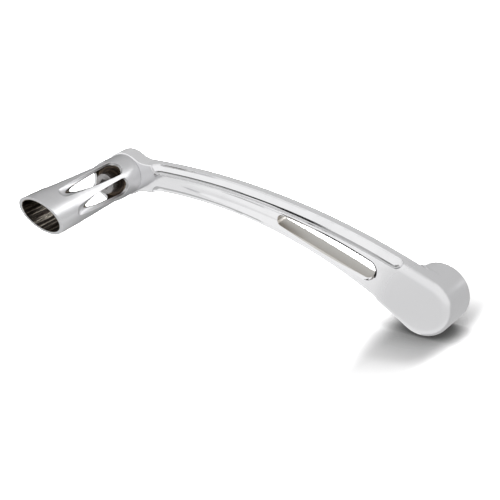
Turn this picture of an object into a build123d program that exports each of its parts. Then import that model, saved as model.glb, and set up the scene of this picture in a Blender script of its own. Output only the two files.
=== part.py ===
from build123d import *
import math
import os

# Motorcycle shift arm with a hollow toe peg.
# The pivot axis is Y and the origin is the centre of the mouth of the hub's bore.
# The outboard face looks along -Y, the peg stands out of it, and +Z is up.

# Arm outline
PEG_REACH = 209.2        # pivot axis to peg axis, along X
PEG_RISE = 41.2          # pivot axis to peg axis, along Z
HUB_R = 18.5             # round end of the arm and its hub
BOSS_R = 14.0            # round end that carries the peg
NECK_R = 15.0            # hollow corners between the boss and the arm
CROWN_R = 465.0          # top edge
CROWN_OVER_PEG = 8.4     # top edge, run on over the peg axis
BELLY_R = 297.0          # bottom edge
BELLY_UNDER_PEG = 10.5   # bottom edge, run on under the peg axis

# Arm thickness, hub and rounded edges
PLATE_T = 11.8           # arm plate, outboard face to back
HUB_LENGTH = 28.5        # outboard face to the mouth of the bore
HUB_EDGE_R = 5.0         # round outboard edge of the hub end
NECK_EDGE_BREAK = 0.7    # broken outboard edge of the boss and neck
BACK_EDGE_BREAK = 1.2    # broken back edge of the plate
HUB_ROOT_R = 4.0         # hollow corner between the plate's back and the hub
HUB_RIM_BREAK = 0.6      # broken edge round the hub's inboard end
EDGE_SPLIT_REACH = 110.0 # where the two outboard edge forms meet, under the flutes

# Flutes along the two outboard corners
FLUTE_R = 5.3            # ball-nosed cutter, centred on the corner
TOP_FLUTE_PEG_END = 183.5
TOP_FLUTE_HUB_END = 17.5
BELLY_FLUTE_PEG_END = 183.0
BELLY_FLUTE_HUB_END = 33.5

# Through slot and the ramped scoop that it sits in
SLOT_PEG_REACH = 94.2    # centre of the narrow end
SLOT_PEG_DEPTH = 11.4    # that centre, below the top edge
SLOT_PEG_R = 3.4
SLOT_HUB_REACH = 36.0    # centre of the wide end
SLOT_HUB_DEPTH = 15.4
SLOT_HUB_R = 5.3
SLOT_TOP_R = 270.0       # upper side
SLOT_BOTTOM_R = 1100.0   # lower side
SCOOP_TOOL_R = 8.0       # ball-nosed cutter
SCOOP_LINE_R = 385.0     # line that the cutter follows
SCOOP_PEG_DEPTH = 2.1    # at the slot's narrow end
SCOOP_HUB_DEPTH = 3.8    # at the slot's wide end
SCOOP_START_REACH = 172.0  # where the cutter comes down on the arm

# Bore, serrations and clamp of the hub
BORE_DEPTH = 22.5
LEAD_IN_R = 7.6          # plain mouth of the bore
LEAD_IN_LENGTH = 6.0
SERRATION_TIP_R = 6.9
SERRATION_ROOT_R = 7.4
SERRATIONS = 36
SLIT_WIDTH = 2.0
SLIT_LENGTH = 15.5       # from the mouth of the bore
PINCH_DROP = 12.2        # pivot axis to clamp screw axis
PINCH_INSET = 8.0        # mouth of the bore to clamp screw axis
PINCH_EAR = 3.2          # metal under the clamp screw's head

# Toe peg
PEG_ROOT_R = 13.0        # at the arm
PEG_MOUTH_R = 14.6       # at the mouth, on the peg axis
PEG_LENGTH = 83.2        # along the peg axis
PEG_WALL = 2.3
PEG_FLOOR = 13.0         # solid end that the screw goes through
MOUTH_ANGLE = 30.0       # slant of the mouth, longer on top
PEG_ROOT_BREAK = 0.4

# Teardrop slots round the peg
TEARDROPS = 6
TEARDROP_TOOL_R = 5.5    # ball-nosed cutter
TEARDROP_START = 19.0    # cutter centre at the deep end, from the arm
TEARDROP_DEEP_R = 12.3   # cutter centre at the deep end, from the peg axis
TEARDROP_SHALLOW_R = 18.2  # cutter centre at the shallow end, from the peg axis
TEARDROP_MARGIN = 21.3   # cutter centre at the shallow end, from the mouth

# Socket-head screws
PEG_SCREW_R = 4.0
PEG_SCREW_LENGTH = 20.0
PEG_SCREW_HEAD_R = 6.5
PEG_SCREW_HEAD_H = 8.0
PEG_SCREW_KEY = 6.0      # across the flats of the key
PEG_SCREW_KEY_DEPTH = 4.0
PINCH_SCREW_R = 2.5
PINCH_SCREW_LENGTH = 14.0
PINCH_SCREW_HEAD_R = 4.25
PINCH_SCREW_HEAD_H = 5.0
PINCH_SCREW_KEY = 4.0
PINCH_SCREW_KEY_DEPTH = 2.5
HEAD_RIM_BREAK = 0.4
THREAD_CLEARANCE = 0.05  # radial, in a tapped hole
HOLE_CLEARANCE = 0.3     # radial, in a plain hole
HEAD_CLEARANCE = 0.4     # radial, round a sunk head
TAP_OVERRUN = 1.0        # tapped hole beyond a screw's tip
OVERCUT = 1.0            # how far a cutter stands clear of the faces it passes

FACE_Y = -HUB_LENGTH
PIVOT = Vector(0, 0)
PEG = Vector(-PEG_REACH, PEG_RISE)
FACE = Plane(origin=(0, FACE_Y, 0), x_dir=(1, 0, 0), z_dir=(0, -1, 0))
PEG_SEAT = Plane(origin=(PEG.X, FACE_Y, PEG.Y), x_dir=(1, 0, 0), z_dir=(0, -1, 0))


def crossing(centre_a, radius_a, centre_b, radius_b):
    """Point that is radius_a from centre_a and radius_b from centre_b, left of the line a to b."""
    line = centre_b - centre_a
    along = (radius_a**2 - radius_b**2 + line.length**2) / (2 * line.length)
    aside = math.sqrt(radius_a**2 - along**2)
    forward = line.normalized()
    return centre_a + forward * along + Vector(-forward.Y, forward.X) * aside


def toward(centre, target, distance):
    """Point at a distance from a centre, on the line to a target."""
    return centre + (target - centre).normalized() * distance


def arc(centre, start, end, large=False):
    """Arc about a centre from start to end, the short way or the large way round."""
    radius = (start - centre).length
    middle = (start - centre) + (end - centre)
    side = -radius if large else radius
    return ThreePointArc(start, centre + middle.normalized() * side, end)


def angle_at(centre, radius, reach):
    """Angle of the point of a circle above its centre that lies this far from the pivot along X."""
    return math.degrees(math.acos((-reach - centre.X) / radius))


def point_at(centre, radius, reach):
    """Point of a circle above its centre that lies this far from the pivot along X."""
    angle = math.radians(angle_at(centre, radius, reach))
    return centre + Vector(math.cos(angle), math.sin(angle)) * radius


def ball_cut(centre, radius, first, last, tool_r, first_y, last_y):
    """Space that a ball-nosed cutter sweeps along an arc, from one angle and depth to another."""
    half = (last - first) / 2
    middle = math.radians((first + last) / 2)
    chord = 2 * radius * math.sin(math.radians(half))
    rise = (last_y - first_y) / chord
    outward = Vector(math.cos(middle), 0, math.sin(middle))
    forward = Vector(-math.sin(middle), rise, math.cos(middle)).normalized()
    path = Plane(
        origin=(centre.X, (first_y + last_y) / 2, centre.Y),
        x_dir=outward,
        z_dir=outward.cross(forward),
    )
    start = path * Rot(0, 0, -half) * Pos(radius, 0, 0) * Rot(90, 0, 0)
    finish = path * Rot(0, 0, half) * Pos(radius, 0, 0) * Rot(-90, 0, 0)
    section = start * Circle(tool_r)
    tube = revolve(section, axis=Axis(path.origin, path.z_dir), revolution_arc=2 * half)
    nose = split(Sphere(tool_r), bisect_by=Plane.XY, keep=Keep.TOP)
    return tube + start * nose + finish * nose


def cap_screw(radius, length, head_r, head_h, key, key_depth):
    """Socket-head screw along Z, with the underside of its head at the origin and its shank below."""
    head = Cylinder(head_r, head_h, align=(Align.CENTER, Align.CENTER, Align.MIN))
    head = chamfer(head.edges().sort_by(Axis.Z)[-1], HEAD_RIM_BREAK)
    shank = Cylinder(radius, length, align=(Align.CENTER, Align.CENTER, Align.MAX))
    socket = RegularPolygon(key / 2, 6, major_radius=False)
    return head + shank - Pos(0, 0, head_h) * extrude(socket, amount=-key_depth)


# Centres of the arcs that bound the arm
crown = crossing(PIVOT, CROWN_R - HUB_R, PEG, CROWN_R - CROWN_OVER_PEG)
belly = crossing(PIVOT, BELLY_R + HUB_R, PEG, BELLY_R + BELLY_UNDER_PEG)
top_neck = crossing(PEG, BOSS_R + NECK_R, crown, CROWN_R + NECK_R)
belly_neck = crossing(PEG, BOSS_R + NECK_R, belly, BELLY_R - NECK_R)

# Points where those arcs run into each other
hub_top = toward(PIVOT, crown, -HUB_R)
hub_bottom = toward(PIVOT, belly, HUB_R)
boss_top = toward(PEG, top_neck, BOSS_R)
boss_bottom = toward(PEG, belly_neck, BOSS_R)
neck_top = toward(crown, top_neck, CROWN_R)
neck_bottom = toward(belly, belly_neck, BELLY_R)

outline = make_face(
    [
        arc(PEG, boss_top, boss_bottom, large=True),
        arc(belly_neck, boss_bottom, neck_bottom),
        arc(belly, neck_bottom, hub_bottom),
        arc(PIVOT, hub_bottom, hub_top, large=True),
        arc(crown, hub_top, neck_top),
        arc(top_neck, neck_top, boss_top),
    ]
)


def outboard_edges(solid):
    """Outline edges of a solid that lie in the outboard face, without the straight cut."""
    edges = solid.edges().filter_by_position(Axis.Y, FACE_Y, FACE_Y)
    return edges.filter_by(GeomType.CIRCLE)


def arm_body():
    """Plate and hub, with their edges rounded and no holes."""
    plate = extrude(FACE * outline, amount=-PLATE_T)
    back = plate.edges().filter_by_position(Axis.Y, FACE_Y + PLATE_T, FACE_Y + PLATE_T)
    neck_back = back.filter_by(lambda edge: edge.center().X < -HUB_R)
    plate = chamfer(neck_back, BACK_EDGE_BREAK)
    split_at = Plane(origin=(-EDGE_SPLIT_REACH, 0, 0), z_dir=(1, 0, 0))
    hub_side = split(plate, bisect_by=split_at, keep=Keep.TOP)
    boss_side = split(plate, bisect_by=split_at, keep=Keep.BOTTOM)
    hub_side = fillet(outboard_edges(hub_side), HUB_EDGE_R)
    boss_side = chamfer(outboard_edges(boss_side), NECK_EDGE_BREAK)
    hub = FACE * Pos(0, 0, -PLATE_T / 2) * Cylinder(
        HUB_R, HUB_LENGTH - PLATE_T / 2, align=(Align.CENTER, Align.CENTER, Align.MAX)
    )
    hub = chamfer(hub.edges().sort_by(Axis.Y)[-1], HUB_RIM_BREAK)
    return hub_side + boss_side + hub


def hub_root():
    """Hollow corner round the hub, kept within the sides of the plate."""
    corner = make_face(
        [
            Line((HUB_R - OVERCUT, -OVERCUT), (HUB_R + HUB_ROOT_R, -OVERCUT)),
            Line((HUB_R + HUB_ROOT_R, -OVERCUT), (HUB_R + HUB_ROOT_R, 0)),
            RadiusArc((HUB_R + HUB_ROOT_R, 0), (HUB_R, HUB_ROOT_R), HUB_ROOT_R),
            Line((HUB_R, HUB_ROOT_R), (HUB_R - OVERCUT, HUB_ROOT_R)),
            Line((HUB_R - OVERCUT, HUB_ROOT_R), (HUB_R - OVERCUT, -OVERCUT)),
        ]
    )
    back = Plane(origin=(0, FACE_Y + PLATE_T, 0), x_dir=(1, 0, 0), z_dir=(0, 0, -1))
    ring = revolve(back * corner, axis=Axis.Y)
    return ring & extrude(FACE * outline, amount=-(PLATE_T + HUB_ROOT_R))


def flute(centre, radius, peg_end, hub_end):
    """Concave channel along an outboard corner, with ball ends."""
    first = angle_at(centre, radius, hub_end)
    last = angle_at(centre, radius, peg_end)
    return ball_cut(centre, radius, first, last, FLUTE_R, FACE_Y, FACE_Y)


def scoop_and_slot():
    """Ramped scoop along the face and the tapered slot through its floor."""
    narrow = point_at(crown, CROWN_R - SLOT_PEG_DEPTH, SLOT_PEG_REACH)
    wide = point_at(crown, CROWN_R - SLOT_HUB_DEPTH, SLOT_HUB_REACH)
    upper = crossing(wide, SLOT_TOP_R - SLOT_HUB_R, narrow, SLOT_TOP_R - SLOT_PEG_R)
    lower = crossing(wide, SLOT_BOTTOM_R + SLOT_HUB_R, narrow, SLOT_BOTTOM_R + SLOT_PEG_R)
    wide_top = toward(upper, wide, SLOT_TOP_R)
    narrow_top = toward(upper, narrow, SLOT_TOP_R)
    wide_bottom = toward(lower, wide, SLOT_BOTTOM_R)
    narrow_bottom = toward(lower, narrow, SLOT_BOTTOM_R)
    wide_end = toward(wide, narrow, -SLOT_HUB_R)
    narrow_end = toward(narrow, wide, -SLOT_PEG_R)
    slot = make_face(
        [
            ThreePointArc(wide_bottom, wide_end, wide_top),
            arc(upper, wide_top, narrow_top),
            ThreePointArc(narrow_top, narrow_end, narrow_bottom),
            arc(lower, narrow_bottom, wide_bottom),
        ]
    )
    line = crossing(wide, SCOOP_LINE_R, narrow, SCOOP_LINE_R)
    first = angle_at(line, SCOOP_LINE_R, SLOT_HUB_REACH)
    middle = angle_at(line, SCOOP_LINE_R, SLOT_PEG_REACH)
    last = angle_at(line, SCOOP_LINE_R, SCOOP_START_REACH)
    first_y = FACE_Y + SCOOP_HUB_DEPTH - SCOOP_TOOL_R
    ramp = (SCOOP_PEG_DEPTH - SCOOP_HUB_DEPTH) / (middle - first)
    last_y = first_y + ramp * (last - first)
    scoop = ball_cut(line, SCOOP_LINE_R, first, last, SCOOP_TOOL_R, first_y, last_y)
    return [scoop, extrude(FACE * slot, amount=-(PLATE_T + OVERCUT))]


def hub_bore():
    """Blind bore with a plain mouth and serrations beyond it."""
    step = math.pi / SERRATIONS
    profile = []
    for tooth in range(2 * SERRATIONS):
        radius = SERRATION_ROOT_R if tooth % 2 else SERRATION_TIP_R
        profile.append((radius * math.cos(tooth * step), radius * math.sin(tooth * step)))
    mouth = Plane(origin=(0, 0, 0), x_dir=(1, 0, 0), z_dir=(0, -1, 0))
    serrated = extrude(mouth * Polygon(*profile, align=None), amount=BORE_DEPTH)
    plain = extrude(mouth * Circle(LEAD_IN_R), amount=LEAD_IN_LENGTH)
    return serrated + plain


def clamp_cuts():
    """Slit under the bore and the stepped hole of the screw that closes it."""
    slit = Box(
        SLIT_WIDTH,
        SLIT_LENGTH,
        HUB_R + OVERCUT,
        align=(Align.CENTER, Align.MAX, Align.MAX),
    )
    seat_x = -(SLIT_WIDTH / 2 + PINCH_EAR)
    along = Plane(origin=(seat_x, -PINCH_INSET, -PINCH_DROP), z_dir=(-1, 0, 0))
    sink = along * Cylinder(
        PINCH_SCREW_HEAD_R + HEAD_CLEARANCE,
        HUB_R,
        align=(Align.CENTER, Align.CENTER, Align.MIN),
    )
    plain = along * Cylinder(
        PINCH_SCREW_R + HOLE_CLEARANCE,
        PINCH_EAR + SLIT_WIDTH,
        align=(Align.CENTER, Align.CENTER, Align.MAX),
    )
    tapped = along * Cylinder(
        PINCH_SCREW_R + THREAD_CLEARANCE,
        PINCH_SCREW_LENGTH + TAP_OVERRUN,
        align=(Align.CENTER, Align.CENTER, Align.MAX),
    )
    screw = along * cap_screw(
        PINCH_SCREW_R,
        PINCH_SCREW_LENGTH,
        PINCH_SCREW_HEAD_R,
        PINCH_SCREW_HEAD_H,
        PINCH_SCREW_KEY,
        PINCH_SCREW_KEY_DEPTH,
    )
    return [slit, sink, plain, tapped], screw


def build_arm(clamp):
    """Whole arm, cut from one piece."""
    arm = arm_body() + hub_root()
    arm -= flute(crown, CROWN_R, TOP_FLUTE_PEG_END, TOP_FLUTE_HUB_END)
    arm -= flute(belly, BELLY_R, BELLY_FLUTE_PEG_END, BELLY_FLUTE_HUB_END)
    for cutter in scoop_and_slot() + [hub_bore()] + clamp:
        arm -= cutter
    tapped = Cylinder(PEG_SCREW_R + THREAD_CLEARANCE, 2 * (PLATE_T + OVERCUT))
    return arm - PEG_SEAT * tapped


def build_peg():
    """Tapered tube with a slanted mouth and teardrop slots."""
    slant = math.tan(math.radians(MOUTH_ANGLE))
    taper = (PEG_MOUTH_R - PEG_ROOT_R) / PEG_LENGTH
    full_length = PEG_LENGTH + 2 * PEG_MOUTH_R * slant
    full_r = PEG_ROOT_R + taper * full_length
    floor_r = PEG_ROOT_R + taper * PEG_FLOOR
    base = (Align.CENTER, Align.CENTER, Align.MIN)
    tube = Cone(PEG_ROOT_R, full_r, full_length, align=base)
    tube = chamfer(tube.edges().sort_by(Axis.Z)[0], PEG_ROOT_BREAK)
    hollow = Cone(floor_r - PEG_WALL, full_r - PEG_WALL, full_length - PEG_FLOOR, align=base)
    tube -= Pos(0, 0, PEG_FLOOR) * hollow
    tube -= Cylinder(PEG_SCREW_R + HOLE_CLEARANCE, PEG_FLOOR + OVERCUT, align=base)
    mouth = Plane(origin=(0, 0, PEG_LENGTH), x_dir=(1, 0, 0), z_dir=(0, -slant, 1))
    tube = split(tube, bisect_by=mouth, keep=Keep.BOTTOM)
    for index in range(TEARDROPS):
        angle = 2 * math.pi * index / TEARDROPS
        side = Vector(math.cos(angle), math.sin(angle), 0)
        mouth_z = PEG_LENGTH + slant * PEG_MOUTH_R * math.sin(angle)
        deep = side * TEARDROP_DEEP_R + Vector(0, 0, TEARDROP_START)
        shallow = side * TEARDROP_SHALLOW_R + Vector(0, 0, mouth_z - TEARDROP_MARGIN)
        ramp = Plane(origin=deep, z_dir=shallow - deep)
        tube -= ramp * Cylinder(TEARDROP_TOOL_R, (shallow - deep).length, align=base)
        tube -= Plane(origin=deep, z_dir=side) * Sphere(TEARDROP_TOOL_R)
        tube -= Plane(origin=shallow, z_dir=side) * Sphere(TEARDROP_TOOL_R)
    return PEG_SEAT * tube


clamp, pinch_screw = clamp_cuts()
parts = {
    "arm": build_arm(clamp),
    "toe_peg": build_peg(),
    "peg_screw": PEG_SEAT * Pos(0, 0, PEG_FLOOR) * cap_screw(
        PEG_SCREW_R,
        PEG_SCREW_LENGTH,
        PEG_SCREW_HEAD_R,
        PEG_SCREW_HEAD_H,
        PEG_SCREW_KEY,
        PEG_SCREW_KEY_DEPTH,
    ),
    "pinch_screw": pinch_screw,
}

os.makedirs("parts", exist_ok=True)
for name, shape in parts.items():
    export_step(shape, f"parts/{name}.step")
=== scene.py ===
import logging
import math
from dataclasses import dataclass, field
from enum import Enum
from typing import Any

import bmesh
import bpy
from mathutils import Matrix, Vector


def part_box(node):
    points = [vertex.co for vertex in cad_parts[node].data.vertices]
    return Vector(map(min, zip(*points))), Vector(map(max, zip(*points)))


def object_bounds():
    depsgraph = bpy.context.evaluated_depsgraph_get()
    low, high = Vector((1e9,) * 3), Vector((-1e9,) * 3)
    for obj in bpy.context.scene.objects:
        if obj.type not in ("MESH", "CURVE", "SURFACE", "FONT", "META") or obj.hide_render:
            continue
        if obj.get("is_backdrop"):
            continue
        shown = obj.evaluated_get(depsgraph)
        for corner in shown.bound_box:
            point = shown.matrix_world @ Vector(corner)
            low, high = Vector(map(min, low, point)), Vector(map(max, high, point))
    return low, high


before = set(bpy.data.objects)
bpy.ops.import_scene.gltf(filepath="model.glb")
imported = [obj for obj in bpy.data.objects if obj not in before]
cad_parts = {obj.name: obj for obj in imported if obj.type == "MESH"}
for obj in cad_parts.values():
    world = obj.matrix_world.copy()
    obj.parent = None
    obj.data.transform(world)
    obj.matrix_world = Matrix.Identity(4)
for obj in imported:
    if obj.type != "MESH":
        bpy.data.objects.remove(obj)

LOG = logging.getLogger("shift_lever")
Colour = tuple[float, float, float]
Point = tuple[float, float, float]
Span = tuple[float, float]

WHITE = (1.0, 1.0, 1.0, 1.0)
OUTBOARD: Point = (0.0, -1.0, 0.0)

# marks on metal: octaves and spans of noise, and the samples of a rounded edge
WAVE_DETAIL = 1.0
HAZE_DETAIL = 4.0
HAZE_SPAN: Span = (0.42, 0.78)
STREAK_DETAIL = 2.0
STREAK_SPAN: Span = (0.42, 0.6)
FINE_SCALE = 4.0
OCTAVE_WEIGHT = 0.6
EDGE_SAMPLES = 8

# heights and depths of the studio round the object, in metres
GROUND = -0.0185
BACK = 0.6
BACK_FOOT = 0.1
CEILING = 0.95


class Socket(Enum):
    """Kinds of socket that a shader group can have."""

    NUMBER = "NodeSocketFloat"
    VECTOR = "NodeSocketVector"
    COLOUR = "NodeSocketColor"


class Graph:
    """Adds nodes to one node tree and joins them."""

    def __init__(self, tree: bpy.types.NodeTree) -> None:
        """Keeps the tree that the nodes go into.

        Args:
            tree: node tree of a material, a world or a group.
        """
        self.tree = tree

    def node(self, kind: str, **settings: Any) -> bpy.types.Node:
        """Adds one node and sets its properties.

        Args:
            kind: node type without its ShaderNode prefix.
            settings: properties of the node.

        Returns:
            The new node.
        """
        made = self.tree.nodes.new("ShaderNode" + kind)
        for name, value in settings.items():
            setattr(made, name, value)
        return made

    def plug(self, target: bpy.types.NodeSocket, value: Any) -> None:
        """Gives an input socket a constant, or the output of another node.

        Args:
            target: input socket.
            value: number, colour, vector or output socket.
        """
        if isinstance(value, bpy.types.NodeSocket):
            self.tree.links.new(value, target)
        else:
            target.default_value = value

    def group(self, tree: bpy.types.NodeTree, **values: Any) -> bpy.types.NodeOutputs:
        """Adds a node group.

        Args:
            tree: the group.
            values: its inputs by name, with spaces written as underscores.

        Returns:
            The group's outputs.
        """
        made = self.node("Group", node_tree=tree)
        for name, value in values.items():
            self.plug(made.inputs[name.replace("_", " ")], value)
        return made.outputs

    def math(self, operation: str, *values: Any, clamp: bool = False) -> bpy.types.NodeSocket:
        """Adds a Math node.

        Args:
            operation: name of the operation.
            values: numbers or output sockets, in order.
            clamp: True to keep the result between 0 and 1.

        Returns:
            The result.
        """
        made = self.node("Math", operation=operation, use_clamp=clamp)
        for index, value in enumerate(values):
            self.plug(made.inputs[index], value)
        return made.outputs[0]

    def vector(self, operation: str, *values: Any) -> bpy.types.NodeSocket:
        """Adds a Vector Math node.

        Args:
            operation: name of the operation.
            values: vectors, numbers or output sockets, in order.

        Returns:
            The result, a number for lengths and dot products.
        """
        made = self.node("VectorMath", operation=operation)
        for index, value in enumerate(values):
            self.plug(made.inputs[index], value)
        number = operation in ("LENGTH", "DOT_PRODUCT")
        return made.outputs["Value" if number else "Vector"]

    def remap(
        self, value: Any, low: Any, high: Any, to_low: Any, to_high: Any
    ) -> bpy.types.NodeSocket:
        """Maps a value from one range to another, clamped, with soft ends.

        Args:
            value: what is mapped.
            low: start of its range.
            high: end of its range.
            to_low: result at the start.
            to_high: result at the end.

        Returns:
            The mapped value.
        """
        made = self.node("MapRange", interpolation_type="SMOOTHSTEP")
        for name, given in (
            ("Value", value),
            ("From Min", low),
            ("From Max", high),
            ("To Min", to_low),
            ("To Max", to_high),
        ):
            self.plug(made.inputs[name], given)
        return made.outputs["Result"]

    def rise(self, value: Any, span: Span) -> bpy.types.NodeSocket:
        """Mask that goes from 0 to 1 while the value crosses a span."""
        return self.remap(value, *span, 0.0, 1.0)

    def fall(self, value: Any, span: Span) -> bpy.types.NodeSocket:
        """Mask that goes from 1 to 0 while the value crosses a span."""
        return self.remap(value, *span, 1.0, 0.0)

    def between(self, factor: Any, first: Any, second: Any) -> bpy.types.NodeSocket:
        """Number that goes from the first to the second with a factor from 0 to 1."""
        return self.remap(factor, 0.0, 1.0, first, second)

    def product(self, first: Any, *others: Any) -> bpy.types.NodeSocket:
        """Multiplies two or more numbers.

        Args:
            first: number or output socket.
            others: numbers or output sockets.

        Returns:
            The product.
        """
        for other in others:
            first = self.math("MULTIPLY", first, other)
        return first

    def parts(self, place: Any) -> bpy.types.NodeOutputs:
        """Splits a place.

        Args:
            place: coordinates.

        Returns:
            Its X, Y and Z by name.
        """
        made = self.node("SeparateXYZ")
        self.plug(made.inputs["Vector"], place)
        return made.outputs

    def blend(self, factor: Any, first: Any, second: Any) -> bpy.types.NodeSocket:
        """Mixes two colours.

        Args:
            factor: 0 gives the first, 1 the second.
            first: colour or output socket.
            second: colour or output socket.

        Returns:
            The mixed colour.
        """
        made = self.node("Mix", data_type="RGBA")
        self.plug(made.inputs["Factor"], factor)
        self.plug(made.inputs[6], first)
        self.plug(made.inputs[7], second)
        return made.outputs[2]

    def noise(
        self, place: Any, scale: Any, detail: float, roughness: float = 0.5
    ) -> bpy.types.NodeSocket:
        """Adds a Noise texture.

        Args:
            place: coordinates that it reads.
            scale: cells to the metre.
            detail: octaves.
            roughness: weight of the finer octaves.

        Returns:
            The noise, about 0.5 on average.
        """
        made = self.node("TexNoise")
        self.plug(made.inputs["Vector"], place)
        self.plug(made.inputs["Scale"], scale)
        made.inputs["Detail"].default_value = detail
        made.inputs["Roughness"].default_value = roughness
        return made.outputs["Fac"]

    def seen(self) -> bpy.types.NodeSocket:
        """Finds the rays that show a surround.

        Returns:
            Mask of the rays to the camera, in metal and through glass.
        """
        path = self.node("LightPath").outputs
        direct = self.math("MAXIMUM", path["Is Camera Ray"], path["Is Glossy Ray"])
        return self.math("MAXIMUM", direct, path["Is Transmission Ray"])


def rgba(colour: Colour) -> tuple[float, float, float, float]:
    """Colour with full alpha."""
    return (*colour, 1.0)


def new_group(
    name: str, takes: dict[str, Socket], gives: dict[str, Socket]
) -> tuple[Graph, Any, Any]:
    """Makes an empty shader node group.

    Args:
        name: name of the group.
        takes: input names and kinds.
        gives: output names and kinds.

    Returns:
        The group's graph, its input sockets and its output sockets.
    """
    tree = bpy.data.node_groups.new(name, "ShaderNodeTree")
    for label, kind in takes.items():
        tree.interface.new_socket(label, in_out="INPUT", socket_type=kind.value)
    for label, kind in gives.items():
        tree.interface.new_socket(label, in_out="OUTPUT", socket_type=kind.value)
    entry = tree.nodes.new("NodeGroupInput")
    exit_node = tree.nodes.new("NodeGroupOutput")
    return Graph(tree), entry.outputs, exit_node.inputs


def polish_group() -> bpy.types.NodeTree:
    """Builds the marks that polishing and handling leave on bright metal.

    Returns:
        Group that takes coordinates and gives a haze mask and a height.
    """
    graph, takes, gives = new_group(
        "polish_marks",
        {"Place": Socket.VECTOR, "Haze Scale": Socket.NUMBER, "Wave Scale": Socket.NUMBER},
        {"Haze": Socket.NUMBER, "Height": Socket.NUMBER},
    )
    place = takes["Place"]
    haze = graph.noise(place, takes["Haze Scale"], HAZE_DETAIL, OCTAVE_WEIGHT)
    graph.plug(gives["Haze"], graph.rise(haze, HAZE_SPAN))
    graph.plug(gives["Height"], graph.noise(place, takes["Wave Scale"], WAVE_DETAIL))
    return graph.tree


def around_group() -> bpy.types.NodeTree:
    """Builds the distances and the turn that a round piece is laid out by.

    Returns:
        Group that takes coordinates, a point of an axis, the axis and the side where turning
        starts, and gives the distance from the axis, the place along it and the turn round it.
    """
    graph, takes, gives = new_group(
        "around_axis",
        {
            "Place": Socket.VECTOR,
            "Centre": Socket.VECTOR,
            "Axis": Socket.VECTOR,
            "Start": Socket.VECTOR,
        },
        {"Radius": Socket.NUMBER, "Along": Socket.NUMBER, "Turn": Socket.NUMBER},
    )
    offset = graph.vector("SUBTRACT", takes["Place"], takes["Centre"])
    along = graph.vector("DOT_PRODUCT", offset, takes["Axis"])
    across = graph.node("VectorMath", operation="SCALE")
    graph.plug(across.inputs[0], takes["Axis"])
    graph.plug(across.inputs["Scale"], along)
    radial = graph.vector("SUBTRACT", offset, across.outputs["Vector"])
    beside = graph.vector("CROSS_PRODUCT", takes["Start"], takes["Axis"])
    turn = graph.math(
        "ARCTAN2",
        graph.vector("DOT_PRODUCT", radial, takes["Start"]),
        graph.vector("DOT_PRODUCT", radial, beside),
    )
    graph.plug(gives["Radius"], graph.vector("LENGTH", radial))
    graph.plug(gives["Along"], along)
    graph.plug(gives["Turn"], turn)
    return graph.tree


def streak_group() -> bpy.types.NodeTree:
    """Builds the streaks that a cutter leaves on a wall.

    Returns:
        Group that takes coordinates and their stretch, and gives a broad and a fine streak mask.
    """
    graph, takes, gives = new_group(
        "cutter_streaks",
        {"Place": Socket.VECTOR, "Stretch": Socket.VECTOR},
        {"Broad": Socket.NUMBER, "Fine": Socket.NUMBER},
    )
    place = graph.vector("MULTIPLY", takes["Place"], takes["Stretch"])
    broad = graph.noise(place, 1.0, STREAK_DETAIL, OCTAVE_WEIGHT)
    fine = graph.noise(place, FINE_SCALE, STREAK_DETAIL, OCTAVE_WEIGHT)
    graph.plug(gives["Broad"], graph.rise(broad, STREAK_SPAN))
    graph.plug(gives["Fine"], fine)
    return graph.tree


@dataclass(frozen=True)
class SlotLine:
    """Outline of the slot in the arm, from its narrow end to its wide one.

    The rises are how far its long sides bow out, and the turn is how far its upper side is
    reckoned to reach round the wide end.
    """

    narrow: Point = (-0.0942, 0.0, 0.03394)
    wide: Point = (-0.036, 0.0, 0.01613)
    narrow_r: float = 0.0034
    wide_r: float = 0.0053
    rise_over: float = 0.0016
    rise_under: float = 0.0004
    end_turn: float = 0.3


def slot_group(line: SlotLine) -> bpy.types.NodeTree:
    """Builds the distances that the slot's walls are laid out by.

    Args:
        line: outline of the slot.

    Returns:
        Group that takes coordinates and gives the distance beyond the slot's outline, the place
        along it from 0 at the narrow end to 1 at the wide one, and 1 on its upper side, else 0.
    """
    graph, takes, gives = new_group(
        "slot_line",
        {"Place": Socket.VECTOR},
        {"Beyond": Socket.NUMBER, "Along": Socket.NUMBER, "Over": Socket.NUMBER},
    )
    run = Vector(line.wide) - Vector(line.narrow)
    ahead = run.normalized()
    over = Vector((-ahead.z, 0.0, ahead.x))
    offset = graph.vector("SUBTRACT", takes["Place"], line.narrow)
    reach = graph.vector("DOT_PRODUCT", offset, tuple(ahead))
    side = graph.vector("DOT_PRODUCT", offset, tuple(over))
    along = graph.math("DIVIDE", reach, run.length, clamp=True)
    excess = graph.math("MULTIPLY_ADD", along, -run.length, reach)
    squares = graph.math("ADD", graph.math("POWER", side, 2.0), graph.math("POWER", excess, 2.0))
    distance = graph.math("SQRT", squares)
    turned = graph.math("MULTIPLY_ADD", excess, line.end_turn, side)
    above = graph.math("GREATER_THAN", turned, 0.0)
    # the sides bow out as a parabola that is 1 half way along
    rise = graph.math("MULTIPLY_ADD", above, line.rise_over - line.rise_under, line.rise_under)
    arch = graph.math("MULTIPLY", along, graph.math("MULTIPLY_ADD", along, -4.0, 4.0))
    half = graph.math("MULTIPLY_ADD", along, line.wide_r - line.narrow_r, line.narrow_r)
    half = graph.math("MULTIPLY_ADD", rise, arch, half)
    graph.plug(gives["Beyond"], graph.math("SUBTRACT", distance, half))
    graph.plug(gives["Along"], along)
    graph.plug(gives["Over"], above)
    return graph.tree


@dataclass(frozen=True)
class Groups:
    """Shared shader groups."""

    polish: bpy.types.NodeTree = field(default_factory=polish_group)
    around: bpy.types.NodeTree = field(default_factory=around_group)
    streaks: bpy.types.NodeTree = field(default_factory=streak_group)


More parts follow.
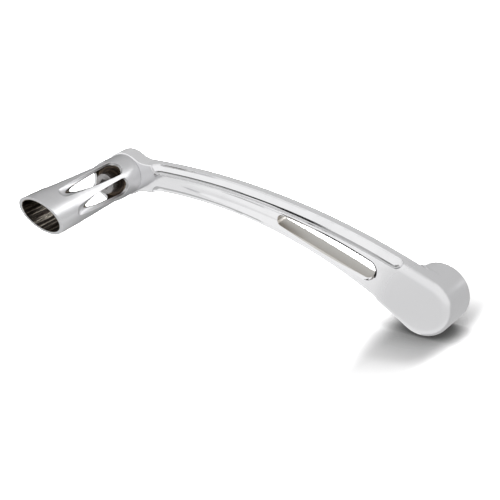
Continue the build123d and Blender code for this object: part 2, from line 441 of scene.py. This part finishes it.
@dataclass(frozen=True)
class Metal:
    """Polished or plated metal, with lengths in metres and scales in cells to the metre."""

    name: str
    colour: Colour
    haze_colour: Colour
    roughness: float
    haze_roughness: float
    edge_radius: float
    bump: float = 0.35
    bump_height: float = 0.00004
    wave_scale: float = 28.0
    haze_scale: float = 70.0
    grazing: float = 1.0


class Finish:
    """Material of one metal, open for more layers before it is closed."""

    def __init__(self, metal: Metal, groups: Groups) -> None:
        """Builds the metal's colour, roughness and rounded edges.

        Args:
            metal: the metal.
            groups: shared shader groups.
        """
        self.metal = metal
        self.groups = groups
        self.material = bpy.data.materials.new(metal.name)
        self.material.use_nodes = True
        self.graph = Graph(self.material.node_tree)
        self.shader = self.graph.tree.nodes["Principled BSDF"]
        self.shader.inputs["Specular Tint"].default_value = rgba((metal.grazing,) * 3)
        self.place = self.graph.node("TexCoord").outputs["Object"]
        marks = self.graph.group(
            groups.polish,
            Place=self.place,
            Haze_Scale=metal.haze_scale,
            Wave_Scale=metal.wave_scale,
        )
        haze = marks["Haze"]
        self.colour = self.graph.blend(haze, rgba(metal.colour), rgba(metal.haze_colour))
        self.roughness = self.graph.between(haze, metal.roughness, metal.haze_roughness)
        self.metallic: Any = 1.0
        edge = self.graph.node("Bevel", samples=EDGE_SAMPLES)
        edge.inputs["Radius"].default_value = metal.edge_radius
        self.normal = self.relief(
            marks["Height"], metal.bump, metal.bump_height, edge.outputs["Normal"]
        )

    def relief(
        self, height: Any, strength: Any, distance: float, normal: Any
    ) -> bpy.types.NodeSocket:
        """Adds a bump.

        Args:
            height: height map.
            strength: how much of it shows.
            distance: metres for a height of one.
            normal: normal that it is added to.

        Returns:
            The new normal.
        """
        bump = self.graph.node("Bump")
        self.graph.plug(bump.inputs["Strength"], strength)
        bump.inputs["Distance"].default_value = distance
        self.graph.plug(bump.inputs["Height"], height)
        self.graph.plug(bump.inputs["Normal"], normal)
        return bump.outputs["Normal"]

    def tint(self, mask: Any, colour: Any, roughness: Any) -> None:
        """Lays another colour and roughness over part of the metal.

        Args:
            mask: where it lies, 0 to 1.
            colour: its colour.
            roughness: its roughness.
        """
        self.colour = self.graph.blend(mask, self.colour, colour)
        self.roughness = self.graph.between(mask, self.roughness, roughness)

    def blacken(self, mask: Any, colour: Any, roughness: Any) -> None:
        """Lays a matt dark colour over part of the metal, with no shine from any side.

        Args:
            mask: where it lies, 0 to 1.
            colour: its colour.
            roughness: its roughness.
        """
        self.tint(mask, colour, roughness)
        self.metallic = self.graph.between(mask, 1.0, 0.0)
        self.shader.inputs["Specular IOR Level"].default_value = 0.0

    def close(self) -> bpy.types.Material:
        """Joins the layers to the shader.

        Returns:
            The finished material.
        """
        self.graph.plug(self.shader.inputs["Metallic"], self.metallic)
        self.graph.plug(self.shader.inputs["Base Color"], self.colour)
        self.graph.plug(self.shader.inputs["Roughness"], self.roughness)
        self.graph.plug(self.shader.inputs["Normal"], self.normal)
        return self.material


@dataclass
class Arm:
    """Chromed arm and hub, with a milled slot."""

    groups: Groups
    node: str = "arm"
    chrome: Metal = Metal(
        "arm_chrome",
        colour=(0.86, 0.86, 0.87),
        haze_colour=(0.82, 0.82, 0.83),
        roughness=0.1,
        haze_roughness=0.15,
        edge_radius=0.0005,
    )
    satin: Colour = (0.78, 0.78, 0.79)
    satin_roughness: float = 0.3
    satin_span: Span = (0.02, 0.034)
    slot: SlotLine = SlotLine()
    milled: Colour = (0.75, 0.735, 0.7)
    milled_shade_and_grain: Colour = (0.44, 0.41, 0.37)
    milled_roughness: float = 0.38
    stretch: Point = (60.0, 900.0, 60.0)
    grain: float = 0.12
    wall_span: Span = (0.00005, 0.0002)
    # painted shade: the slot's walls darken towards the front face and the narrow end
    front_shade_depths: Span = (-0.018, -0.026)
    front_shade_levels: Span = (0.15, 1.0)
    narrow_shade_span: Span = (0.0, 0.35)
    narrow_shade_least: float = 0.25
    # painted reflection: a near-black matt line on the slot's upper rim stands in for its rounded
    # edge's dark reflection
    painted_reflection_line: Colour = (0.02, 0.02, 0.02)
    edge_roughness: float = 0.9
    edge_span: Span = (0.0017, 0.0021)
    edge_depths: Span = (-0.0262, -0.0268)
    edge_start: Span = (0.3, 0.5)

    def dress(self) -> None:
        """Puts the chrome on, which turns satin towards the hub, and mills the slot."""
        finish = Finish(self.chrome, self.groups)
        around = finish.graph.group(
            self.groups.around, Place=finish.place, Centre=(0.0, 0.0, 0.0), Axis=OUTBOARD
        )
        hub = finish.graph.fall(around["Radius"], self.satin_span)
        finish.tint(hub, rgba(self.satin), self.satin_roughness)
        slot = finish.graph.group(slot_group(self.slot), Place=finish.place)
        depth = finish.graph.parts(finish.place)["Y"]
        self.mill_walls(finish, slot, depth)
        self.paint_edge_reflection(finish, slot, depth)
        dress(self.node, finish.close())

    def mill_walls(self, finish: Finish, slot: bpy.types.NodeOutputs, depth: Any) -> None:
        """Gives the slot's walls milled grey, with painted shade in front and at the narrow end.

        Args:
            finish: the arm's material.
            slot: outputs of the slot's group.
            depth: place across the arm.
        """
        graph = finish.graph
        streaks = graph.group(self.groups.streaks, Place=finish.place, Stretch=self.stretch)
        # painted shade towards the front face and the narrow end, with the real grain of the
        # streaks added
        front = graph.remap(depth, *self.front_shade_depths, *self.front_shade_levels)
        narrow = graph.remap(slot["Along"], *self.narrow_shade_span, 1.0, self.narrow_shade_least)
        shade_and_grain = graph.product(front, narrow)
        shade_and_grain = graph.math("ADD", shade_and_grain, graph.product(streaks["Fine"], self.grain), clamp=True)
        colour = graph.blend(shade_and_grain, rgba(self.milled), rgba(self.milled_shade_and_grain))
        finish.tint(graph.fall(slot["Beyond"], self.wall_span), colour, self.milled_roughness)

    def paint_edge_reflection(self, finish: Finish, slot: bpy.types.NodeOutputs, depth: Any) -> None:
        """Paints a thin dark reflection on the rim of the slot's upper side, as in the photograph.

        Args:
            finish: the arm's material.
            slot: outputs of the slot's group.
            depth: place across the arm.
        """
        graph = finish.graph
        # painted reflection: the dark line that the slot's rounded rim would reflect
        line = graph.product(
            graph.fall(slot["Beyond"], self.edge_span),
            graph.rise(slot["Beyond"], self.wall_span),
            graph.rise(depth, self.edge_depths),
            graph.rise(slot["Along"], self.edge_start),
            slot["Over"],
        )
        finish.blacken(line, rgba(self.painted_reflection_line), self.edge_roughness)


@dataclass
class ToePeg:
    """Chromed peg with a bored inside."""

    groups: Groups
    node: str = "toe_peg"
    chrome: Metal = Metal(
        "peg_chrome",
        colour=(0.77, 0.77, 0.78),
        haze_colour=(0.73, 0.73, 0.74),
        roughness=0.39,
        haze_roughness=0.43,
        edge_radius=0.0004,
        grazing=0.3,
    )
    bored: Colour = (0.5, 0.46, 0.4)
    # painted shade: near-black streaks and rings for the shade and dark reflections inside the
    # bore
    bore_shade: Colour = (0.035, 0.028, 0.024)
    turned: Colour = (0.36, 0.27, 0.19)
    bored_roughness: float = 0.2
    bore_floor: float = 0.0131
    ring_scale: float = 900.0
    ring_stretch: float = 0.5
    ring_span: Span = (0.45, 0.75)
    inner_r: float = 0.0107
    inner_taper: float = 0.01923
    edge_band: float = 0.0002
    stretch: Point = (760.0, 7.0, 760.0)
    streak_strength: float = 0.6
    streak_height: float = 0.0003

    def dress(self) -> None:
        """Puts the chrome on, with bare bored metal inside, streaked and ringed by painted shade.
        """
        low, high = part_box(self.node)
        centre = ((low[0] + high[0]) / 2, high[1], (low[2] + high[2]) / 2)
        finish = Finish(self.chrome, self.groups)
        graph = finish.graph
        around = graph.group(
            self.groups.around, Place=finish.place, Centre=centre, Axis=OUTBOARD
        )
        inner_r = self.inner_r + self.edge_band
        wall = graph.math("MULTIPLY_ADD", around["Along"], self.inner_taper, inner_r)
        beyond = graph.math("SUBTRACT", around["Radius"], wall)
        inside = graph.fall(beyond, (0.0, self.edge_band))
        floor_span = (self.bore_floor, self.bore_floor + self.edge_band)
        floor = graph.fall(around["Along"], floor_span)
        streaks = graph.group(self.groups.streaks, Place=finish.place, Stretch=self.stretch)
        # painted shade and dark reflections in the bore, streaked along it
        bored = graph.blend(streaks["Broad"], rgba(self.bore_shade), rgba(self.bored))
        place = graph.node("CombineXYZ")
        graph.plug(place.inputs["X"], around["Radius"])
        graph.plug(place.inputs["Y"], graph.product(around["Along"], self.ring_stretch))
        ring = graph.noise(
            place.outputs["Vector"], self.ring_scale, STREAK_DETAIL, OCTAVE_WEIGHT
        )
        ring = graph.rise(ring, self.ring_span)
        turned = graph.blend(ring, rgba(self.bore_shade), rgba(self.turned))
        finish.tint(inside, graph.blend(floor, bored, turned), self.bored_roughness)
        strength = graph.product(inside, graph.between(floor, self.streak_strength, 0.0))
        finish.normal = finish.relief(
            streaks["Fine"], strength, self.streak_height, finish.normal
        )
        dress(self.node, finish.close())


@dataclass
class Screw:
    """Socket-head screw of bare steel."""

    groups: Groups
    node: str
    head_r: float
    axis: Point
    steel: Metal
    knurls: int = 48
    knurl_height: float = 0.0002
    rim_span: Span = (0.95, 0.99)

    def dress(self) -> None:
        """Puts the steel on, knurled round the head."""
        finish = Finish(self.steel, self.groups)
        graph = finish.graph
        low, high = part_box(self.node)
        centre = tuple((Vector(low) + Vector(high)) / 2)
        around = graph.group(
            self.groups.around,
            Place=finish.place,
            Centre=centre,
            Axis=self.axis,
            Start=tuple(Vector(self.axis).orthogonal()),
        )
        wave = graph.math("SINE", graph.product(around["Turn"], float(self.knurls)))
        rim = graph.rise(around["Radius"], tuple(self.head_r * share for share in self.rim_span))
        finish.normal = finish.relief(wave, rim, self.knurl_height, finish.normal)
        dress(self.node, finish.close())


def dress(node: str, material: bpy.types.Material) -> None:
    """Puts one material on a CAD node.

    Args:
        node: name of the node.
        material: its finish.
    """
    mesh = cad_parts[node].data
    mesh.materials.clear()
    mesh.materials.append(material)
    LOG.info("%s: %d faces, finish %s", node, len(mesh.polygons), material.name)


@dataclass(frozen=True)
class Sheet:
    """Studio sheet of one grey, drawn out along X from a path in Y and Z."""

    name: str
    left: float
    right: float
    path: tuple[Span, ...]
    tone: float

    def build(self) -> None:
        """Makes the sheet, which only metal shows."""
        shape = bmesh.new()
        ends = (self.left, self.right)
        rows = [[shape.verts.new((x, y, z)) for x in ends] for y, z in self.path]
        for (first, second), (third, fourth) in zip(rows[:-1], rows[1:]):
            shape.faces.new((first, second, fourth, third))
        mesh = bpy.data.meshes.new(self.name)
        shape.to_mesh(mesh)
        shape.free()
        sheet = bpy.data.objects.new(self.name, mesh)
        bpy.context.scene.collection.objects.link(sheet)
        sheet.visible_camera = False
        sheet.visible_diffuse = False
        sheet.visible_transmission = False
        sheet.visible_shadow = False
        material = bpy.data.materials.new(self.name)
        material.use_nodes = True
        graph = Graph(material.node_tree)
        glow = graph.node("Emission")
        glow.inputs["Color"].default_value = WHITE
        glow.inputs["Strength"].default_value = self.tone
        graph.plug(graph.tree.nodes["Material Output"].inputs["Surface"], glow.outputs["Emission"])
        mesh.materials.append(material)
        sheet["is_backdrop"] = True
        LOG.info("sheet %s, tone %.2f", self.name, self.tone)


@dataclass
class Studio:
    """Floor, light, background and the sheets round the object.

    Lengths are in metres. The floor has one albedo for light, one for the camera and a level that
    metal shows. That level changes along X in front, and is even under and behind the object.
    """

    floor_half: float = 4.0
    floor_gap: float = 0.0002
    floor_albedo: float = 0.8
    floor_camera: float = 1.6
    # painted shadow: in front, the floor that metal shows is darker at the left and right, for the
    # shadow of the peg and the hub
    floor_left: float = 0.86
    floor_middle: float = 1.0
    floor_right: float = 0.84
    floor_under: float = 1.0
    left_span: Span = (-0.24, -0.165)
    right_span: Span = (-0.09, -0.04)
    under_span: Span = (-0.045, -0.025)
    shadow_core: float = 0.06
    ambient: float = 0.09
    key_from: Point = (-0.03, 0.9, 0.56)
    key_angle: float = 36.0
    key_strength: float = 2.5
    side_from: Point = (-0.1, -0.9, 0.6)
    side_angle: float = 36.0
    side_strength: float = 1.45
    contact_reach: float = 0.04
    contact_power: float = 2.6
    contact_samples: int = 16
    lift_span: Span = (0.012, 0.034)
    lift: float = 2.4
    strip_from: Point = (0.303, 0.388, 0.105)
    strip_width: float = 0.18
    strip_height: float = 0.2
    strip_spread: float = 24.0
    strip_energy: float = 0.0102
    sheets: tuple[Sheet, ...] = (
        Sheet("floor_left", -0.36, -0.145, ((-0.045, GROUND), (0.02, GROUND)), 0.5),
        Sheet("floor_right", 0.0, 1.6, ((-0.028, GROUND), (0.5, GROUND), (BACK, BACK_FOOT)), 0.6),
        Sheet("floor_behind", -1.6, 0.0, ((0.02, GROUND), (0.5, GROUND), (BACK, BACK_FOOT)), 0.55),
        Sheet("back_wall", -1.6, 1.6, ((BACK, BACK_FOOT), (BACK, 0.3)), 0.6),
        Sheet(
            "back_top", -1.6, 1.6, ((BACK, 0.3), (BACK, 0.8), (0.5, CEILING), (0.3, CEILING)), 0.65
        ),
        Sheet("top_dark", -0.36, -0.2, ((0.23, CEILING), (-0.25, CEILING)), 0.015),
        Sheet("top_dark_mid", -0.5, -0.36, ((0.1, CEILING), (-0.22, CEILING)), 0.015),
        Sheet("top_dark_end", -1.0, -0.5, ((-0.1, CEILING), (-0.3, CEILING)), 0.05),
        Sheet("top_grey_end", -1.2, -0.5, ((0.2, CEILING), (-0.1, CEILING)), 0.5),
        Sheet("top_grey", -0.2, 0.0, ((BACK, CEILING), (-0.12, CEILING)), 0.48),
        Sheet("top_spot", 0.0, 0.06, ((0.27, CEILING), (-0.03, CEILING)), 0.02),
    )

    def build(self) -> None:
        """Builds the world, the floor, the lamps and the sheets."""
        self.world()
        self.floor()
        self.lamps()
        for sheet in self.sheets:
            sheet.build()

    def world(self) -> None:
        """Makes a white surround that lights the object at a plain level."""
        world = bpy.data.worlds.new("surround")
        world.use_nodes = True
        bpy.context.scene.world = world
        graph = Graph(world.node_tree)
        back = graph.tree.nodes["Background"]
        back.inputs["Color"].default_value = WHITE
        graph.plug(back.inputs["Strength"], graph.between(graph.seen(), self.ambient, 1.0))

    def floor(self) -> None:
        """Makes the pale floor, which shows white and keeps the shadow."""
        shape = bmesh.new()
        bmesh.ops.create_grid(shape, x_segments=1, y_segments=1, size=self.floor_half)
        lowest = min(corner[2] for corner in corners())
        level = (0.0, 0.0, lowest - self.floor_gap)
        bmesh.ops.translate(shape, verts=shape.verts, vec=level)
        mesh = bpy.data.meshes.new("floor")
        shape.to_mesh(mesh)
        shape.free()
        mesh.materials.append(self.floor_finish())
        floor = bpy.data.objects.new("floor", mesh)
        bpy.context.scene.collection.objects.link(floor)
        floor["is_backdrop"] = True
        LOG.info("floor at %.4f m", lowest)

    def floor_finish(self) -> bpy.types.Material:
        """Makes the floor's material: matt for light and camera, a plain glow in metal.

        Returns:
            The material.
        """
        material = bpy.data.materials.new("pale_floor")
        material.use_nodes = True
        graph = Graph(material.node_tree)
        seen = graph.seen()
        camera = graph.node("LightPath").outputs["Is Camera Ray"]
        place = graph.parts(graph.node("TexCoord").outputs["Object"])
        hidden = graph.between(seen, self.floor_albedo, 0.0)
        tone = graph.between(camera, hidden, self.camera_tone(graph, place["X"]))
        colour = graph.node("CombineColor")
        for name in ("Red", "Green", "Blue"):
            graph.plug(colour.inputs[name], tone)
        matt = graph.node("BsdfDiffuse")
        graph.plug(matt.inputs["Color"], colour.outputs["Color"])
        metal = graph.math("SUBTRACT", seen, camera)
        level = graph.product(metal, self.mirrored_level(graph, place["X"], place["Y"]))
        glow = graph.node("Emission")
        strength = graph.math("MULTIPLY_ADD", camera, self.shadow_core, level)
        graph.plug(glow.inputs["Strength"], strength)
        both = graph.node("AddShader")
        graph.plug(both.inputs[0], matt.outputs["BSDF"])
        graph.plug(both.inputs[1], glow.outputs["Emission"])
        graph.plug(graph.tree.nodes["Material Output"].inputs["Surface"], both.outputs["Shader"])
        return material

    def camera_tone(self, graph: Graph, across: Any) -> bpy.types.NodeSocket:
        """Builds the floor's albedo for the camera, which keeps the shadow under the hub alone.

        Args:
            graph: graph of the floor's material.
            across: place along X.

        Returns:
            The albedo, darker where the object is near.
        """
        # painted shadow: ambient occlusion darkens the floor's albedo near the object
        contact = graph.node("AmbientOcclusion", samples=self.contact_samples)
        contact.inputs["Distance"].default_value = self.contact_reach
        shade = graph.math("POWER", contact.outputs["AO"], self.contact_power)
        # painted light: the albedo is raised away from the hub, so the arm's own shadow is washed
        # out
        beside = self.floor_camera * self.lift
        aside = graph.math("ABSOLUTE", across)
        lifted = graph.remap(aside, *self.lift_span, self.floor_camera, beside)
        return graph.product(shade, lifted)

    def mirrored_level(self, graph: Graph, across: Any, deep: Any) -> bpy.types.NodeSocket:
        """Builds the level of the floor that metal shows; its darker ends are painted shadow.

        Args:
            graph: graph of the floor's material.
            across: place along X.
            deep: place along Y.

        Returns:
            The level, 1 for white.
        """
        level = graph.remap(across, *self.left_span, self.floor_left, self.floor_middle)
        level = graph.remap(across, *self.right_span, level, self.floor_right)
        return graph.remap(deep, *self.under_span, level, self.floor_under)

    def lamps(self) -> None:
        """Hangs two suns that only shape the shadow, and a strip that lights the peg's side."""
        for name, place, angle, strength in (
            ("key", self.key_from, self.key_angle, self.key_strength),
            ("side", self.side_from, self.side_angle, self.side_strength),
        ):
            sun = bpy.data.lights.new(name, "SUN")
            sun.angle = math.radians(angle)
            sun.energy = strength
            self.hang(sun, Vector(place), Vector()).visible_glossy = False
        strip = bpy.data.lights.new("strip", "AREA")
        strip.shape = "RECTANGLE"
        strip.size = self.strip_width
        strip.size_y = self.strip_height
        strip.spread = math.radians(self.strip_spread)
        strip.energy = self.strip_energy
        low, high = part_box("toe_peg")
        peg = (Vector(low) + Vector(high)) / 2
        self.hang(strip, peg + Vector(self.strip_from), peg)

    @staticmethod
    def hang(light: bpy.types.Light, place: Vector, target: Vector) -> bpy.types.Object:
        """Puts a lamp at a place, pointed at a target.

        Args:
            light: the lamp's data.
            place: where it hangs.
            target: where it points.

        Returns:
            The lamp.
        """
        lamp = bpy.data.objects.new(light.name, light)
        bpy.context.scene.collection.objects.link(lamp)
        lamp.location = place
        lamp.rotation_mode = "QUATERNION"
        lamp.rotation_quaternion = (target - place).to_track_quat("-Z", "Y")
        return lamp


@dataclass(frozen=True)
class PhotoCamera:
    """Camera at the photograph's angle, with its place, the way behind it and its lens."""

    place: Point = (0.35837, -0.78752, 0.39823)
    back: Point = (0.48613, -0.77819, 0.39761)
    lens: float = 115.2
    sensor: float = 36.0

    def build(self) -> None:
        """Makes the camera and lets the scene use it."""
        data = bpy.data.cameras.new("photo_camera")
        data.lens = self.lens
        data.sensor_width = self.sensor
        data.sensor_fit = "HORIZONTAL"
        camera = bpy.data.objects.new("photo_camera", data)
        bpy.context.scene.collection.objects.link(camera)
        camera.location = self.place
        camera.rotation_mode = "QUATERNION"
        camera.rotation_quaternion = (-Vector(self.back)).to_track_quat("-Z", "Y")
        bpy.context.scene.camera = camera
        LOG.info("camera: lens %.1f mm", self.lens)


def corners() -> list[list[float]]:
    """Lowest and highest corner of what is shown, as plain lists."""
    return [list(corner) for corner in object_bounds()]


def main() -> None:
    """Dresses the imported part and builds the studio."""
    logging.basicConfig(level=logging.INFO, format="%(name)s: %(message)s")
    bpy.context.scene.view_settings.view_transform = "Standard"
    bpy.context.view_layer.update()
    groups = Groups()
    steel = Metal(
        "screw_steel",
        colour=(0.42, 0.41, 0.41),
        haze_colour=(0.34, 0.33, 0.33),
        roughness=0.24,
        haze_roughness=0.34,
        edge_radius=0.0002,
    )
    Arm(groups).dress()
    ToePeg(groups).dress()
    Screw(groups, "peg_screw", head_r=0.0065, axis=OUTBOARD, steel=steel).dress()
    Screw(groups, "pinch_screw", head_r=0.00425, axis=(-1.0, 0.0, 0.0), steel=steel).dress()
    Studio().build()
    PhotoCamera().build()


if __name__ == "__main__":
    main()
